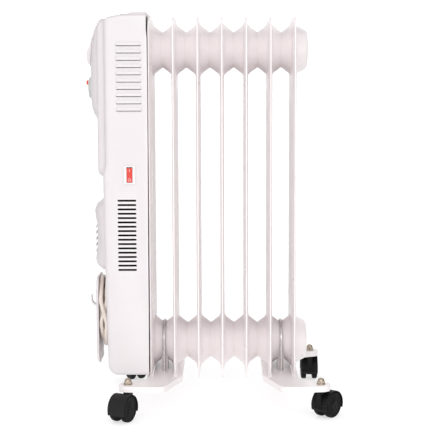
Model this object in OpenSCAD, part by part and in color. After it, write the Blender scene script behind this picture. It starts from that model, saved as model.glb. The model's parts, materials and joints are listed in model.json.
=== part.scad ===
// Oil filled radiator heater with a fan outlet in its control box, on four twin wheel casters.
// The controls face -X, the fin stack runs towards +X, and +Z is up.
// The origin is on the floor, under the middle of the footprint.

/* [Fins] */
// Distance from one fin to the next
fin_pitch = 37; // [36.5:0.5:37.5]
// Depth of a fin, edge to edge
fin_depth = 150; // [140:1:152]
// Height of the lower edge of the fins
fin_bottom = 47; // [46:1:48]
// Height of the upper edge of the fins
fin_top = 606; // [600:1:608]
// Thickness of the oil channel pressed into a fin
channel_thick = 6.4; // [5.5:0.1:6.6]
// Thickness of the flat seam round a fin
seam_thick = 2.4; // [1.6:0.2:3]
// Radius of the oil headers where they meet a fin
header_r = 39.2; // [38:0.2:40]
// Radius of the oil headers half way between two fins
neck_r = 27.4; // [26:0.2:28]

/* [Control box] */
// Length of the box along the stack
box_length = 64; // [64:1:66]
// Width of the box across the stack
box_width = 160; // [158:1:162]
// Wall of the moulded parts
wall = 2.5; // [2:0.1:3]
// Depth of the control panel in front of the box
panel_depth = 12; // [11:1:13]

/* [Knobs] */
// Diameter of the thermostat knob
thermostat_d = 48; // [44:1:50]
// Diameter of the power knob
selector_d = 35; // [32:1:36]

/* [Feet] */
// Height of the top of the foot brackets
bracket_top = 53; // [53:0.5:54]
// Distance between the caster stems across the stack
stem_span = 240; // [236:1:244]
// Diameter of a caster wheel
wheel_d = 40; // [39:0.5:40]
// Width over both wheels of a caster
caster_width = 28; // [27:0.5:29]
// Distance from the stem to the wheel axle, seen from above
caster_trail = 16; // [15:0.5:16]

/* [Cord] */
// Diameter of the mains lead
cord_d = 6.8; // [6.6:0.1:6.8]
// Diameter of the plug pins
pin_d = 4.8; // [4:0.1:5]
// Distance between the plug pins
pin_gap = 19; // [18:0.5:20]

/* [Hidden] */
$fn = 64;
fin_count = 7;
stack_x = 14.65;           // the middle fin stands this far from the origin
sheet = 1.2;               // sheet steel of the fins
half_pitch = fin_pitch / 2;
seam_r = 25;               // corner of a fin
channel_inset = 17;        // from the fin's edge to its oil channel
channel_corner = 14;
pad_r = 42.5;              // round pad of a fin under each header
header_bore = 24;          // hole through a fin where the oil passes
neck_wall = 1.6;
header_low = 97.5;         // height of the lower header
header_high = 557;         // height of the upper header
cap_r = 38.2;              // foot of the caps on the last fin
cap_waist = 31.8;
cap_round = 7;
cap_length = 22;
inner_cap_r = 37;          // of the shallow caps inside the control box
inner_cap_length = 4.4;
element_r = 17;            // thread of the heating element
rod_r = 4;
rod_gap = 9;               // from the header's axis to each rod
rod_length = 205;

box_back = stack_x - 3 * fin_pitch - 3;
box_front = box_back - box_length;
box_low = 57;
box_high = 608.5;
box_half = box_width / 2;
box_corner = 9;
foot_corner = 15.5;
foot_setback = 1.5;        // the front wall leans back this much at its foot

panel_front = box_front - panel_depth;
panel_low = 363;
panel_high = 603;
panel_half = 68;
pod_half = 44;
pod_front = panel_front - 12;

selector_x = pod_front;
thermostat_z = 555.5;
thermostat_tilt = 5;
thermostat_x = panel_front - 10.8;
selector_z = 499;
shaft_r = 3;
shaft_clear = 0.06;
knob_gap = 0.6;

louvre_count = 10;
louvre_pitch = 10.85;
louvre_low = 464;
louvre_length = 41;
louvre_high = 7.6;
louvre_proud = 1.9;
louvre_x = box_back - 26.5;
vent_count = 17;
vent_pitch = 6.64;
vent_low = 221.5;
vent_length = 28.6;
vent_high = 3.2;
vent_x = box_back - 31;

screw_y = [-66, 66];
screw_z = [90, 330, 530];

switch_x = box_back - 26.4;
switch_z = 367;
switch_wide = 16.5;
switch_high = 27.5;
paddle_wide = 8.6;
paddle_high = 23;

outlet_low = 211;
outlet_high = 329;
outlet_half = 50;
fan_x = box_back - 31;
fan_z = 268;
fan_r = 23;
blade_count = 18;

plate_front = box_front - 20;
plate_back = box_front - 16.4;
plate_half = 40;
plate_low = 65;
plate_high = 203;
hank_z = 148.5;
hank_run = 36;             // straight stretch of each turn
hank_in = 17.5;            // radius inside the turns
hank_out = 38.5;           // radius outside the turns
hank_back = box_front - 0.2;
hank_front = plate_back + 0.2;
back_layer = hank_back - 0.1 - cord_d / 2;
front_layer = hank_front + 0.1 + cord_d / 2;
gland_y = 35;
gland_z = 78;
gland_tip = 104;
plug_x = box_front + 6;
plug_y = 103;
plug_top = 128;
plug_low = 88;

beam_inner = 29.5;         // from the U-bolt to the inner edge of a bracket
beam_outer = 24.5;         // from the U-bolt to the outer edge
beam_half = 138;
bracket_thick = 2;
bracket_skirt = 9;
arm_inner = 88;
arm_end_r = 14;
bolt_r = 2.5;
bolt_bend = 30.8;          // radius of the U-bolt's centre line
wheel_r = wheel_d / 2;
web_half = 4.75;
stem_r = 3.5;
axle_r = 2.5;
hood_r = 21.6;
front_stem_x = stack_x - 143;
rear_stem_x = stack_x + 148.2;
front_bolt_x = fin_x(1) + half_pitch;
rear_bolt_x = fin_x(fin_count) - half_pitch;
front_right_turn = 244;    // heading of the wheels of each caster, seen from above
front_left_turn = 116;
rear_right_turn = 49;
rear_left_turn = 90;

// Route of the lead from the hank to the plug
lead_out_route = [
    [front_layer, 35, 148], [front_layer, 36, 160], [front_layer, 41, 172], [front_layer + 1, 51, 181],
    [front_layer + 4, 65, 185], [front_layer + 8, 79, 183], [front_layer + 13, 91, 176],
    [front_layer + 16, 99, 164], [plug_x, 103, 150], [plug_x, 103, plug_top]
];
// Route of the lead from the gland to the hank
lead_in_route = [
    [back_layer, gland_y, gland_tip], [back_layer, gland_y, 117], [back_layer, gland_y, 131]
];

// ---- shared shapes ----

function fin_x(i) = stack_x + (i - 4) * fin_pitch;
function arc(x, y, r, from, to, n = 10) =
    [for (k = [0:n]) let (a = from + (to - from) * k / n) [x + r * cos(a), y + r * sin(a)]];

// Extrude a drawing of X and Z across the stack, centred on Y = 0
module across(width) {
    translate([0, width / 2, 0]) rotate([90, 0, 0]) linear_extrude(width) children();
}

// Extrude a drawing of Y and Z along +X, from X = x
module along(x, length) {
    translate([x, 0, 0]) rotate([90, 0, 90]) linear_extrude(length) children();
}

// A cylinder or cone along +X, from X = x
module rod_x(x, y, z, length, r1, r2) {
    translate([x, y, z]) rotate([0, 90, 0]) cylinder(h = length, r1 = r1, r2 = r2);
}

module rounded_rect(low, high, r) {
    translate([low[0] + r, low[1]]) square([high[0] - low[0] - 2 * r, high[1] - low[1]]);
    translate([low[0], low[1] + r]) square([high[0] - low[0], high[1] - low[1] - 2 * r]);
    for (x = [low[0] + r, high[0] - r], y = [low[1] + r, high[1] - r]) translate([x, y]) circle(r);
}

module block(low, high) {
    translate(low) cube(high - low);
}

function unit(v) = v / norm(v);
function heading(route, i) = unit(route[min(i + 1, len(route) - 1)] - route[max(i - 1, 0)]);
function ring(centre, ahead, r, sides) =
    let (u = unit(cross(ahead, [1, 0, 0])), v = cross(ahead, u))
    [for (k = [0:sides - 1]) centre + r * (cos(360 * k / sides) * u + sin(360 * k / sides) * v)];

// A round tube swept along a route
module sweep(route, r, sides = 10) {
    last = len(route) - 1;
    rings = [for (i = [0:last]) each ring(route[i], heading(route, i), r, sides)];
    skin = [for (i = [0:last - 1], k = [0:sides - 1])
        let (next = (k + 1) % sides)
        [i * sides + k, i * sides + next, (i + 1) * sides + next, (i + 1) * sides + k]];
    low_end = [for (k = [0:sides - 1]) sides - 1 - k];
    high_end = [for (k = [0:sides - 1]) last * sides + k];
    polyhedron(points = rings, faces = concat(skin, [low_end, high_end]));
}

// ---- fins and oil space ----

// Oil channel of a fin, with a round pad under each header
module channel(x, thick, inset) {
    inner = fin_depth / 2 - channel_inset - inset;
    along(x - thick / 2, thick)
        rounded_rect([-inner, fin_bottom + channel_inset + inset],
                     [inner, fin_top - channel_inset - inset], channel_corner - inset);
    for (z = [header_low, header_high]) rod_x(x - thick / 2, 0, z, thick, pad_r - inset, pad_r - inset);
}

module fin(i) {
    x = fin_x(i);
    edge = fin_depth / 2;
    difference() {
        union() {
            along(x - seam_thick / 2, seam_thick) rounded_rect([-edge, fin_bottom], [edge, fin_top], seam_r);
            channel(x, channel_thick, 0);
        }
        channel(x, channel_thick - 2 * sheet, sheet);
        for (z = [header_low, header_high])
            rod_x(x - channel_thick, 0, z, 2 * channel_thick, header_bore, header_bore);
    }
}

// Bellows collar between two fins, solid, its narrow waist at X = 0. grow adds to its radius,
// and spare carries its flare on past the fins.
module neck_form(grow, spare) {
    half = half_pitch - channel_thick / 2;
    flare = (header_r - neck_r) / half;
    wide = header_r + grow + spare * flare;
    rotate([0, 90, 0]) rotate_extrude() polygon([
        [0, -half - spare], [wide, -half - spare], [neck_r + grow, 0], [wide, half + spare],
        [0, half + spare]]);
}

module header_necks() {
    color("lavenderblush") for (i = [1:fin_count - 1], z = [header_low, header_high])
        translate([fin_x(i) + half_pitch, 0, z]) difference() {
            neck_form(0, 0);
            neck_form(-neck_wall, 1);
        }
}

module fin_1() { color("lavenderblush") fin(1); }
module fin_2() { color("lavenderblush") fin(2); }
module fin_3() { color("lavenderblush") fin(3); }
module fin_4() { color("lavenderblush") fin(4); }
module fin_5() { color("lavenderblush") fin(5); }
module fin_6() { color("lavenderblush") fin(6); }
module fin_7() { color("lavenderblush") fin(7); }

// A cone with a rounded end that closes a header on the last fin
module header_cap(length) {
    middle = cap_waist - cap_round;
    profile = concat([[0, 0], [cap_r, 0]],
                     arc(middle, length - cap_round, cap_round, 25, 90, 6), [[0, length]]);
    cavity = concat([[0, -1], [cap_r - 2, -1]],
                    arc(middle, length - cap_round, cap_round - sheet, 25, 90, 6), [[0, length - sheet]]);
    difference() {
        rotate_extrude() polygon(profile);
        rotate_extrude() polygon(cavity);
    }
}

// A shallow dish that closes a header on the first fin
module inner_cap() {
    length = inner_cap_length;
    difference() {
        cylinder(h = length, r1 = inner_cap_r, r2 = inner_cap_r - 2);
        translate([0, 0, -1]) cylinder(h = length + 1 - sheet, r1 = inner_cap_r - 2, r2 = inner_cap_r - 4);
    }
}

module header_caps() {
    outer = channel_thick / 2;
    color("lavenderblush") {
        for (z = [header_low, header_high])
            translate([fin_x(fin_count) + outer, 0, z]) rotate([0, 90, 0]) header_cap(cap_length - outer);
        translate([fin_x(1) - outer, 0, header_high]) rotate([0, -90, 0]) inner_cap();
        difference() {
            translate([fin_x(1) - outer, 0, header_low]) rotate([0, -90, 0]) inner_cap();
            rod_x(fin_x(1) - 30, 0, header_low, 30, element_r, element_r);
        }
    }
}

module heating_element() {
    face = fin_x(1) - channel_thick / 2 - inner_cap_length;
    turn = face + rod_length;
    color("silver") {
        rod_x(face - 5, 0, header_low, 5, element_r + 5, element_r + 5);
        rod_x(face, 0, header_low, 8, element_r - 0.1, element_r - 0.1);
        for (side = [-1, 1]) {
            rod_x(face + 7, 0, header_low + side * rod_gap, rod_length - 7, rod_r, rod_r);
            rod_x(face - 12, 0, header_low + side * rod_gap, 8, 2, 2);
        }
        translate([turn, 0, header_low]) rotate([90, 0, 0]) rotate([0, 0, -90])
            rotate_extrude(angle = 180) translate([rod_gap, 0]) circle(rod_r);
    }
}

// ---- control box ----

// Outline of the box in X and Z, drawn inside its wall by inset
function box_outline(inset) = concat(
    [[box_back + (inset > 0 ? 1 : 0), box_low + inset]],
    arc(box_front + foot_setback + foot_corner, box_low + foot_corner, foot_corner - inset, 270, 180),
    [[box_front + inset, 214]],
    arc(box_front + 11, box_high - 6 - 11, 11 - inset, 180, 105),
    [[box_front + 24, box_high - 0.8 - inset], [box_back + (inset > 0 ? 1 : 0), box_high - inset]]
);

// Outline of the box in X and Y
function box_plan(inset) = concat(
    arc(box_front + box_corner, box_corner - box_half, box_corner - inset, 180, 270),
    [[box_back + (inset > 0 ? 1 : 0), inset - box_half], [box_back + (inset > 0 ? 1 : 0), box_half - inset]],
    arc(box_front + box_corner, box_half - box_corner, box_corner - inset, 90, 180)
);

module box_form(inset) {
    intersection() {
        across(box_width + 20) polygon(box_outline(inset));
        translate([0, 0, box_low - 10]) linear_extrude(box_high) polygon(box_plan(inset));
    }
}

// One hooded louvre of the right wall, its lower lip at height z
module louvre_hood(z) {
    face = -box_half;
    low = [louvre_x - louvre_length / 2, z];
    high = [louvre_x + louvre_length / 2, z + louvre_high];
    intersection() {
        translate([0, face + 0.5, 0]) rotate([90, 0, 0]) linear_extrude(5) {
            rounded_rect(low, high, 3.6);
            translate(low) square([louvre_length, 3]);
        }
        along(low[0] - 1, louvre_length + 2) polygon([
            [face + 0.5, z + louvre_high + 0.1], [face - 0.3, z + louvre_high - 0.6],
            [face - louvre_proud, z + 2.2], [face - louvre_proud, z], [face + 0.5, z]]);
    }
}

module louvre_cut(z) {
    face = -box_half;
    along(louvre_x - louvre_length / 2 + 1.6, louvre_length - 3.2) polygon([
        [face + wall + 1, z + 4.6], [face, z + 4.6], [face - louvre_proud + 0.9, z + 2],
        [face - louvre_proud + 0.9, z - 0.1], [face - 0.1, z - 1.4], [face + wall + 1, z - 1.4]]);
}

module vent(z) {
    across(box_width + 20) {
        translate([vent_x - vent_length / 2 + vent_high / 2, z - vent_high / 2])
            square([vent_length - vent_high, vent_high]);
        for (side = [-1, 1])
            translate([vent_x + side * (vent_length - vent_high) / 2, z]) circle(vent_high / 2);
    }
}

module housing_shell() {
    color("whitesmoke") difference() {
        union() {
            difference() {
                box_form(0);
                box_form(wall);
            }
            for (k = [0:louvre_count - 1]) {
                louvre_hood(louvre_low + k * louvre_pitch);
                mirror([0, 1, 0]) louvre_hood(louvre_low + k * louvre_pitch);
            }
        }
        for (k = [0:louvre_count - 1]) {
            louvre_cut(louvre_low + k * louvre_pitch);
            mirror([0, 1, 0]) louvre_cut(louvre_low + k * louvre_pitch);
        }
        for (k = [0:vent_count - 1]) vent(vent_low + k * vent_pitch);
        block([switch_x - 6.5, -box_half - 1, switch_z - 12], [switch_x + 6.5, -box_half + 5, switch_z + 12]);
        block([box_front - 2, -42, outlet_low + 24], [box_front + 6, 42, outlet_high - 32]);
        for (z = [thermostat_z, selector_z]) rod_x(box_front - 2, 0, z, 8, 12, 12);
        rod_x(box_front - 2, gland_y, gland_z, 10, 4.6, 4.6);
        block([box_back - 40, -56.2, box_high - 8], [box_back - 5, 56.2, box_high + 5]);
        // room for the pad of the first fin in the edge of the floor
        rod_x(box_back - 0.6, 0, header_low, 2, pad_r + 0.4, pad_r + 0.4);
    }
}

module back_plate() {
    low = [-box_half + wall + 0.4, box_low + wall + 0.4];
    high = [box_half - wall - 0.4, box_high - wall - 0.4];
    color("gray") difference() {
        along(box_back - 2.6, 1.2) rounded_rect(low, high, 4);
        for (z = [header_low, header_high]) rod_x(box_back - 5, 0, z, 10, inner_cap_r + 1, inner_cap_r + 1);
        for (y = screw_y, z = screw_z) rod_x(box_back - 5, y, z, 10, 1.9, 1.9);
    }
}

module housing_screws() {
    color("silver") for (y = screw_y, z = screw_z) {
        rod_x(box_back - 1.3, y, z, 1.6, 3.4, 3.4);
        rod_x(box_back - 8, y, z, 6.8, 1.6, 1.6);
    }
}

// Side view of the pod, as steps in front of the panel
pod_steps = [[4, 600], [-2, 600], [-5, 593], [-7.5, 584], [-9.2, 574], [-10.8, 555], [-11.8, 530], [-12, 500],
             [-11.7, 478], [-10.4, 467], [-7.4, 456], [-3, 449], [4, 446]];

module control_panel() {
    outline = concat(
        [[box_front, panel_low]],
        arc(panel_front + 7, panel_low + 7, 7, 270, 180, 6),
        arc(panel_front + 14, panel_high - 18, 14, 180, 128, 8),
        [[box_front, panel_high - 2]]
    );
    color("white") difference() {
        union() {
            intersection() {
                across(2 * panel_half) polygon(outline);
                along(panel_front - 2, panel_depth + 4)
                    rounded_rect([-panel_half, panel_low - 2], [panel_half, panel_high + 2], 14);
            }
            intersection() {
                across(2 * pod_half) polygon([for (p = pod_steps) [panel_front + p[0], p[1]]]);
                along(pod_front - 5, 30) rounded_rect([-pod_half, 446], [pod_half, 600], 26);
            }
        }
        block([box_front - panel_depth + wall, -panel_half + wall, panel_low + wall + 2],
              [box_front + 1, panel_half - wall, 440]);
        rod_x(pod_front - 6, 0, selector_z, 40, shaft_r + shaft_clear, shaft_r + shaft_clear);
        at_thermostat() translate([0, 0, -6])
            cylinder(h = 40, r = shaft_r + shaft_clear);
    }
}

// Local +Z runs from the thermostat knob into the box
module at_thermostat() {
    translate([thermostat_x, 0, thermostat_z]) rotate([0, 90 + thermostat_tilt, 0]) children();
}

module at_selector() {
    translate([selector_x, 0, selector_z]) rotate([0, 90, 0]) children();
}

// A domed knob whose back lies at local Z = -gap, with local -Z facing the user
module knob_dome(d, height) {
    r = d / 2;
    rotate_extrude() polygon(concat(
        [[0, -knob_gap - 0.6], [r - 1, -knob_gap - 0.6]],
        [for (k = [0:8]) let (a = 90 * k / 8)
            [(r - 4) + 4 * cos(a), -knob_gap - 1.4 - (height - 3) * sin(a)]],
        [[r * 0.5, -knob_gap - height + 0.7], [0, -knob_gap - height + 0.4]]));
}

module knob_socket() {
    translate([0, 0, -4]) cylinder(h = 5, r = shaft_r);
}

module thermostat_knob() {
    grip_half = 14.5;
    color("white") at_thermostat() difference() {
        union() {
            knob_dome(thermostat_d, 5.6);
            translate([6, 0, 0]) intersection() {
                translate([-grip_half, -4.5, -10.8]) cube([2 * grip_half, 9, 8.6]);
                translate([0, 4.5, -6.6]) rotate([90, 0, 0]) grip_lens(grip_half);
            }
        }
        knob_socket();
    }
}

// Lens shaped slab that rounds the ends of the grip
module grip_lens(half) {
    linear_extrude(9) intersection() {
        translate([0, 22]) circle(26.2);
        translate([-half, -6]) square([2 * half, 12]);
    }
}

module selector_knob() {
    color("silver") at_selector() difference() {
        union() {
            knob_dome(selector_d, 7.5);
            translate([-8, 0, -knob_gap - 10.1]) cylinder(h = 5, r = 3.6);
        }
        knob_socket();
    }
}

module thermostat_shaft() {
    color("goldenrod") at_thermostat() translate([0, 0, -4]) cylinder(h = 38, r = shaft_r);
}

module selector_shaft() {
    color("goldenrod") at_selector() translate([0, 0, -4]) cylinder(h = 38, r = shaft_r);
}

module thermostat_body() {
    color("dimgray") at_thermostat() difference() {
        translate([-17, -15, 28]) cube([34, 30, 16]);
        translate([0, 0, 20]) cylinder(h = 16, r = shaft_r + shaft_clear);
    }
}

module selector_body() {
    color("dimgray") at_selector() difference() {
        translate([-14, -14, 28]) cube([28, 28, 18]);
        translate([0, 0, 20]) cylinder(h = 16, r = shaft_r + shaft_clear);
    }
}

module carry_handle() {
    low = box_back - 41;
    rim = box_high + 4.5;
    profile = [[low, box_high - 2], [low, box_high + 0.4], [low + 2, box_high + 1.2],
               [low + 12, box_high + 1.8], [low + 17, rim - 0.8], [low + 20, rim], [box_back - 1, rim],
               [box_back, rim - 1], [box_back, box_high - 2]];
    color("whitesmoke") difference() {
        union() {
            difference() {
                intersection() {
                    across(124) polygon(profile);
                    translate([0, 0, box_high - 3]) linear_extrude(10)
                        rounded_rect([low - 1, -62], [box_back + 1, 62], 10);
                }
                box_form(0);
            }
            block([box_back - 39.6, -55.8, box_high - 28], [box_back - 5.4, 55.8, box_high + 1.1]);
        }
        block([box_back - 37.4, -53.6, box_high - 25.8], [box_back - 7.6, 53.6, box_high + 10]);
    }
}

module filter_pads() {
    color("black") for (side = [-1, 1])
        translate([vent_x, side * (box_half - wall - 1), vent_low + vent_pitch * (vent_count - 1) / 2])
            cube([vent_length + 8, 1.6, vent_pitch * vent_count + 6], center = true);
}

// ---- side switch ----

module rocker_frame() {
    face = -box_half;
    color("white") difference() {
        union() {
            translate([0, face, 0]) rotate([90, 0, 0]) linear_extrude(1.6)
                rounded_rect([switch_x - switch_wide / 2, switch_z - switch_high / 2],
                             [switch_x + switch_wide / 2, switch_z + switch_high / 2], 1.5);
            block([switch_x - 6.4, face, switch_z - 11.9], [switch_x + 6.4, face + 18, switch_z + 11.9]);
        }
        block([switch_x - paddle_wide / 2 - 0.3, face - 2, switch_z - paddle_high / 2 - 0.35],
              [switch_x + paddle_wide / 2 + 0.3, face + 12, switch_z + paddle_high / 2 + 0.35]);
        rod_x(switch_x - 6, face + 2, switch_z, 12, 1.26, 1.26);
    }
}

// The paddle rests with its lower half pressed in
module rocker_paddle() {
    face = -box_half;
    half = paddle_high / 2;
    color("red") translate([0, face + 2, switch_z]) rotate([8, 0, 0]) {
        along(switch_x - paddle_wide / 2, paddle_wide) polygon([
            [-4.6, half - 0.9], [-3.4, 4], [-3, 0], [-3.4, -4], [-4.6, 0.9 - half],
            [-3.8, 0.5 - half], [0.5, 0.8 - half], [4, -4], [4, 4], [0.5, half - 0.8], [-3.8, half - 0.5]]);
        rod_x(switch_x - 5.8, 0, 0, 11.6, 1.2, 1.2);
    }
}

// ---- fan heater ----

function outlet_profile(depth) = [
    [box_front + 1, outlet_low], [box_front - 3, outlet_low + 1], [box_front - 0.7 * depth, outlet_low + 6],
    [box_front - 0.93 * depth, outlet_low + 13], [box_front - depth, outlet_low + 22],
    [box_front - 0.94 * depth, outlet_low + 31], [box_front - 0.84 * depth, outlet_low + 38],
    [box_front - 0.82 * depth, outlet_low + 56], [box_front - 0.86 * depth, outlet_low + 74],
    [box_front - 0.97 * depth, outlet_low + 84], [box_front - 1.02 * depth, outlet_low + 94],
    [box_front - 0.95 * depth, outlet_low + 104], [box_front - 0.7 * depth, outlet_low + 112],
    [box_front - 3, outlet_low + 117], [box_front + 1, outlet_high]
];

module outlet_form(depth, half) {
    crown_r = 130;
    intersection() {
        across(2 * half) polygon(outlet_profile(depth));
        translate([0, 0, outlet_low - 5]) linear_extrude(140)
            translate([box_front - depth - 1 + crown_r, 0]) circle(crown_r, $fn = 120);
        along(box_front - depth - 5, depth + 10) rounded_rect([-half, outlet_low], [half, outlet_high], 22);
    }
}

module fan_grille() {
    bar_pitch = 9.5;
    color("white") {
        difference() {
            outlet_form(20, outlet_half);
            translate([wall, 0, 0]) outlet_form(20, outlet_half - 8);
            block([box_front, -100, outlet_low - 10], [box_front + 5, 100, outlet_high + 10]);
            block([box_front - 40, -36, outlet_low + 30], [box_front + 5, 36, outlet_low + 78]);
        }
        for (k = [0:4])
            translate([box_front - 18.6, -37, outlet_low + 32.3 + k * bar_pitch]) cube([5, 74, 2.4]);
    }
}

module fan_impeller() {
    color("dimgray") translate([fan_x, 0, fan_z]) rotate([90, 0, 0]) {
        for (z = [-46, -1, 44]) translate([0, 0, z]) cylinder(h = 2, r = fan_r);
        for (k = [0:blade_count - 1]) rotate([0, 0, 360 * k / blade_count])
            translate([fan_r - 6, 0, -45]) rotate([0, 0, 35]) cube([6, 0.9, 90]);
        translate([0, 0, -64]) cylinder(h = 112, r = 2);
    }
}

module fan_motor() {
    color("silver") difference() {
        translate([fan_x, 52, fan_z]) rotate([-90, 0, 0]) union() {
            cylinder(h = 20, r = 19);
            translate([-22, -5, 2]) cube([44, 10, 14]);
        }
        translate([fan_x, 40, fan_z]) rotate([-90, 0, 0]) cylinder(h = 40, r = 2.06);
    }
}

module fan_duct() {
    outer_r = fan_r + 5;
    color("black") difference() {
        union() {
            across(102) translate([fan_x, fan_z]) circle(outer_r);
            block([box_front + 14, -51, fan_z - 27], [fan_x, 51, fan_z + 27]);
        }
        across(98) translate([fan_x, fan_z]) circle(outer_r - 2);
        block([box_front + 12, -49, fan_z - 25], [fan_x, 49, fan_z + 25]);
        block([fan_x - 40, -60, fan_z - 40], [box_front + 14, 60, fan_z + 40]);
        block([fan_x + 6, -49, fan_z - 40], [fan_x + 40, 49, fan_z + 14]);
        translate([fan_x, 0, fan_z]) rotate([90, 0, 0]) translate([0, 0, -60]) cylinder(h = 120, r = 6);
    }
}

module fan_heater() {
    color("silver") {
        for (z = [fan_z - 22, fan_z + 18])
            block([box_front + 3.2, -41, z], [box_front + 9.4, 41, z + 4]);
        for (k = [0:13])
            block([box_front + 3.6, -40 + k * 6, fan_z - 18], [box_front + 9, -38.6 + k * 6, fan_z + 18]);
    }
}

module thermal_cutout() {
    color("silver") rod_x(box_back - 12, 40, 480, 9.4, 8, 8);
    color("black") block([box_back - 17, 33, 473], [box_back - 12, 47, 487]);
}

module terminal_block() {
    color("ivory") block([box_back - 16, -30, 150], [box_back - 2.6, 10, 172]);
}

// ---- mains lead ----

module racetrack(r) {
    for (side = [-1, 1]) translate([0, hank_z + side * hank_run / 2]) circle(r);
    translate([-r, hank_z - hank_run / 2]) square([2 * r, hank_run]);
}

module cord_plate() {
    profile = [[plate_back, plate_high - 1], [plate_back - 1, plate_high], [plate_front + 1, plate_high],
               [plate_front, plate_high - 1], [plate_front, plate_low + 9], [plate_back - 0.5, plate_low],
               [plate_back + 1, plate_low + 1], [plate_back, plate_low + 9]];
    hook = [[plate_front + 0.5, 158.6], [plate_front - 3.6, 159.6], [plate_front - 7, 163],
            [plate_front - 8.6, 168], [plate_front - 8.4, 176], [plate_front - 6.4, 176],
            [plate_front - 6.4, 168.6], [plate_front - 5, 164.4], [plate_front - 2.6, 162],
            [plate_front + 0.5, 161.4]];
    color("white") {
        intersection() {
            across(2 * plate_half) polygon(profile);
            along(plate_front - 2, 12)
                rounded_rect([-plate_half, plate_low - 1], [plate_half, plate_high + 1], 20);
        }
        difference() {
            along(plate_back - 0.5, box_front + foot_setback + 1 - plate_back)
                racetrack(hank_in - 1);
            box_form(0);
        }
        translate([0, -34, 0]) across(14) polygon(hook);
    }
}

module cord_gland() {
    color("wheat") {
        rod_x(back_layer, gland_y, gland_z, box_front + 8 - back_layer, 4.5, 4.5);
        translate([back_layer, gland_y, gland_z]) sphere(4.8);
        translate([back_layer, gland_y, gland_z]) cylinder(h = gland_tip - gland_z, r1 = 4.8, r2 = 4);
    }
}

module cord_hank() {
    color("tan") along(hank_front, hank_back - hank_front) difference() {
        racetrack(hank_out);
        racetrack(hank_in);
    }
}

module cord_lead_in() { color("tan") sweep(lead_in_route, cord_d / 2); }
module cord_lead_out() { color("tan") sweep(lead_out_route, cord_d / 2); }

module plug_body() {
    color("wheat") translate([plug_x, plug_y, plug_low]) rotate_extrude() polygon([
        [0, 0], [17, 0], [18.5, 1.5], [18.5, 8], [17.5, 13], [13, 20], [8.5, 27], [6, 40], [0, 40]]);
}

module plug_pins() {
    color("silver") for (side = [-1, 1])
        translate([plug_x + side * pin_gap / 2, plug_y, plug_low - 19]) cylinder(h = 19, r = pin_d / 2);
}

// ---- feet ----

// Outline of a foot bracket seen from above, its U-bolt at X = 0 and its arms towards +X
module bracket_plan(inset, reach) {
    high_x = beam_outer - inset;
    r = 16 - inset;
    end_r = arm_end_r - inset;
    hull() for (side = [-1, 1]) {
        translate([24 - beam_inner, side * 62]) circle(24 - inset);
        translate([34 - beam_inner, side * (beam_half - 12)]) circle(12 - inset);
        translate([beam_outer - 16, side * (beam_half - 16)]) circle(r);
    }
    for (side = [-1, 1]) {
        polygon([[high_x - r, side * (beam_half - inset)], [high_x - r, side * (arm_inner + inset)],
                 [high_x, side * (arm_inner + inset)], [reach, side * (stem_span / 2 - end_r)],
                 [reach, side * (stem_span / 2 + end_r)], [high_x, side * (beam_half - inset)]]);
        translate([reach, side * stem_span / 2]) circle(end_r);
    }
}

// Bracket whose U-bolt stands at bolt_x and whose casters stand at stem_x
module foot_bracket(bolt_x, stem_x) {
    away = stem_x > bolt_x ? 1 : -1;
    reach = abs(stem_x - bolt_x);
    top = bracket_top;
    translate([bolt_x, 0, 0]) mirror([away > 0 ? 0 : 1, 0, 0]) difference() {
        union() {
            difference() {
                translate([0, 0, top - bracket_skirt]) linear_extrude(bracket_skirt) bracket_plan(0, reach);
                translate([0, 0, top - bracket_skirt - 1])
                    linear_extrude(bracket_skirt + 1 - bracket_thick) bracket_plan(bracket_thick, reach);
            }
            block([-5, -20, top - 1], [5, 20, header_low - 16]);
        }
        for (side = [-1, 1]) translate([side * half_pitch, 0, top])
            cube([seam_thick + 2.6, fin_depth - 8, 30], center = true);
        translate([0, 0, header_low]) neck_form(0.2, 0);
        for (side = [-1, 1]) {
            translate([0, side * bolt_bend, top - 20]) cylinder(h = 40, r = bolt_r + 0.4);
            translate([reach, side * stem_span / 2, top - 20]) cylinder(h = 40, r = stem_r + 0.3);
        }
    }
}

module foot_bracket_front() { color("mistyrose") foot_bracket(front_bolt_x, front_stem_x); }
module foot_bracket_rear() { color("mistyrose") foot_bracket(rear_bolt_x, rear_stem_x); }

module u_bolts() {
    color("silver") for (x = [front_bolt_x, rear_bolt_x]) translate([x, 0, header_low]) {
        rotate([90, 0, 90]) rotate_extrude(angle = 180) translate([bolt_bend, 0]) circle(bolt_r);
        for (side = [-1, 1]) translate([0, side * bolt_bend, 40 - header_low])
            cylinder(h = header_low - 40, r = bolt_r);
    }
}

module wing_nuts() {
    top = bracket_top - bracket_thick;
    color("silver") for (x = [front_bolt_x, rear_bolt_x], y = [-bolt_bend, bolt_bend])
        translate([x, y, top - 7]) difference() {
            union() {
                cylinder(h = 7, r = 4.6);
                for (side = [-1, 1]) rotate([0, 0, 90]) translate([side * 7, 0, 2.4])
                    cube([8, 1.6, 4.8], center = true);
            }
            translate([0, 0, -1]) cylinder(h = 10, r = bolt_r);
        }
}

// ---- casters ----

// Local +X runs from the stem to the wheels, and the axle lies along local Y
module at_caster(x, side, turn) {
    translate([x, side * stem_span / 2, 0]) rotate([0, 0, turn]) children();
}

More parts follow.
